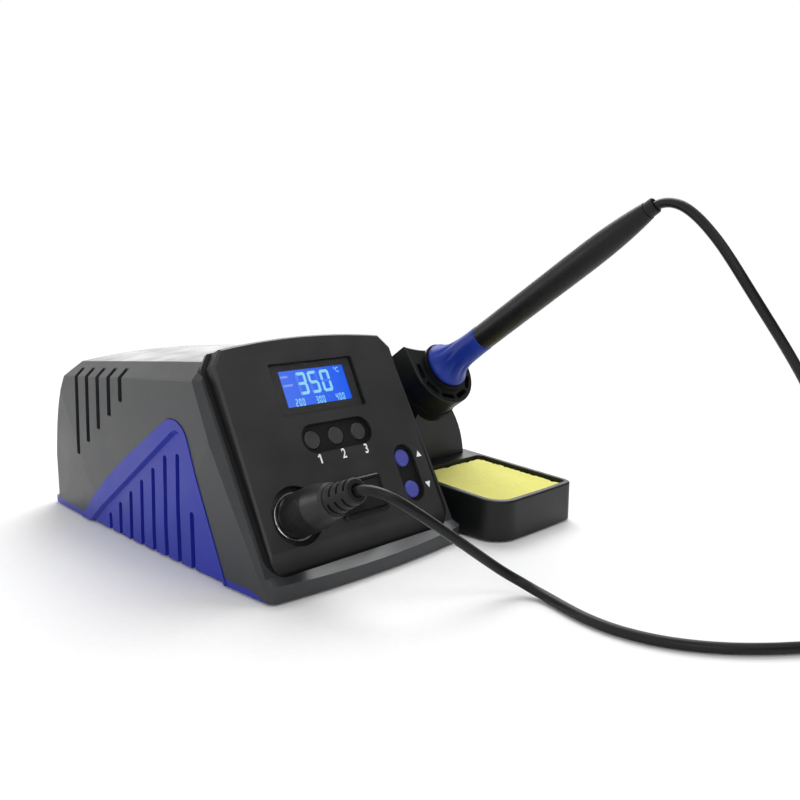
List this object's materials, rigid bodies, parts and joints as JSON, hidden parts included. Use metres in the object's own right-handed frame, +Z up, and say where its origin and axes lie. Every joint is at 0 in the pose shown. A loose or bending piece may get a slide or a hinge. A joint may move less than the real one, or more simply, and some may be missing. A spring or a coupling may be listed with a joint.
{
  "type": "soldering station",
  "caption": "Temperature controlled soldering station with display, keys and rocker switch, its iron on a cord, and the iron's stand with a cleaning sponge.",
  "frame": {"origin": "on the bench, at the centre of the footprint of the station, its stand and the iron in it", "axes": "+Z up, -Y is the front, where the display and the iron's handle point, +X runs from the station to the stand"},
  "size_m": [0.2215, 0.3832, 0.1538],
  "materials": {
    "black_abs": "moulded black",
    "black_rubber": "matt",
    "blue_abs": "moulded, satin blue",
    "blue_rubber": "soft, matt",
    "board_green": "solder mask on glass fibre board",
    "board_parts": "capacitors, relays and heat sink",
    "ceramic": "fired ceramic",
    "charcoal_abs": "moulded, fine satin texture",
    "chrome_ring": "plated, bright",
    "clear_window": "clear acrylic",
    "coil_tape": "winding under yellow tape",
    "cord_rubber": "silicone rubber, satin",
    "fuse_glass": "glass tube",
    "gloss_black": "moulded, polished",
    "grey_keys": "moulded, matt grey",
    "laminations": "varnished steel sheets",
    "lcd_blue": "lit display glass",
    "nickel": "nickel plated",
    "panel_abs": "moulded, satin black",
    "plated_tip": "iron plated copper, tinned end",
    "sponge_cellulose": "damp cellulose sponge",
    "stainless_barrel": "stainless, heat tinted",
    "tact_black": "moulded",
    "violet_keys": "moulded, matt blue violet",
    "white_diffuser": "milky acrylic",
    "zinc_steel": "zinc plated"
  },
  "bodies": {
    "root": {"upper_housing": "charcoal_abs", "lower_housing": "blue_abs", "station_feet": "black_rubber", "case_screws": "zinc_steel", "front_panel": "panel_abs", "lcd_window": "clear_window", "lcd_frame": "black_abs", "lcd_glass": "lcd_blue", "lcd_backlight": "white_diffuser", "display_board": "board_green", "tact_switches": "tact_black", "power_switch": "gloss_black", "socket_body": "black_abs", "socket_ring": "chrome_ring", "socket_nut": "nickel", "mains_inlet": "gloss_black", "inlet_blades": "nickel", "ground_jack": "nickel", "ground_jack_nut": "nickel", "main_board": "board_green", "main_board_parts": "board_parts", "transformer_core": "laminations", "transformer_coil": "coil_tape", "stand_base": "black_abs", "stand_feet": "black_rubber", "holder_shroud": "black_abs", "holder_sleeve": "zinc_steel", "cord_coil": "cord_rubber"},
    "plug": {"plug_shell": "black_abs", "plug_boot": "black_rubber", "cord_lead": "cord_rubber"},
    "iron": {"iron_grip": "blue_rubber", "iron_handle": "black_abs", "iron_tail": "black_rubber", "iron_nut": "black_abs", "iron_barrel": "stainless_barrel", "iron_heater": "ceramic", "iron_tip": "plated_tip", "cord_rise": "cord_rubber"},
    "sponge": {"sponge": "sponge_cellulose"},
    "rocker": {"power_rocker": "gloss_black"},
    "drawer": {"fuse_drawer": "gloss_black", "fuse": "fuse_glass"},
    "preset_button_1": {"preset_button_1": "grey_keys"},
    "preset_button_2": {"preset_button_2": "grey_keys"},
    "preset_button_3": {"preset_button_3": "grey_keys"},
    "up_button": {"up_button": "violet_keys"},
    "down_button": {"down_button": "violet_keys"}
  },
  "joints": [
    {"name": "preset_1_press", "type": "slide", "parent": "root", "child": "preset_button_1", "axis": [0, 0.8922, -0.4517], "range_m": [0, 0.0009], "stiffness_N_per_m": 600},
    {"name": "preset_2_press", "type": "slide", "parent": "root", "child": "preset_button_2", "axis": [0, 0.8922, -0.4517], "range_m": [0, 0.0009], "stiffness_N_per_m": 600},
    {"name": "preset_3_press", "type": "slide", "parent": "root", "child": "preset_button_3", "axis": [0, 0.8922, -0.4517], "range_m": [0, 0.0009], "stiffness_N_per_m": 600},
    {"name": "up_press", "type": "slide", "parent": "root", "child": "up_button", "axis": [0, 0.8922, -0.4517], "range_m": [0, 0.0009], "stiffness_N_per_m": 600},
    {"name": "down_press", "type": "slide", "parent": "root", "child": "down_button", "axis": [0, 0.8922, -0.4517], "range_m": [0, 0.0009], "stiffness_N_per_m": 600},
    {"name": "power_rock", "type": "hinge", "parent": "root", "child": "rocker", "pos_m": [-0.0272, -0.04716, 0.02791], "axis": [0, 0.4517, 0.8922], "range_deg": [0, 14]},
    {"name": "drawer_pull", "type": "slide", "parent": "root", "child": "drawer", "axis": [0, 0.9767, 0.2147], "range_m": [0, 0.018]},
    {"name": "iron_lift", "type": "slide", "parent": "root", "child": "iron", "axis": [0, -0.8251, 0.565], "range_m": [0, 0.1]},
    {"name": "sponge_lift", "type": "slide", "parent": "root", "child": "sponge", "axis": [0, 0, 1], "range_m": [0, 0.03]},
    {"name": "plug_pull", "type": "slide", "parent": "root", "child": "plug", "axis": [0, -0.8922, 0.4517], "range_m": [0, 0.02]}
  ]
}
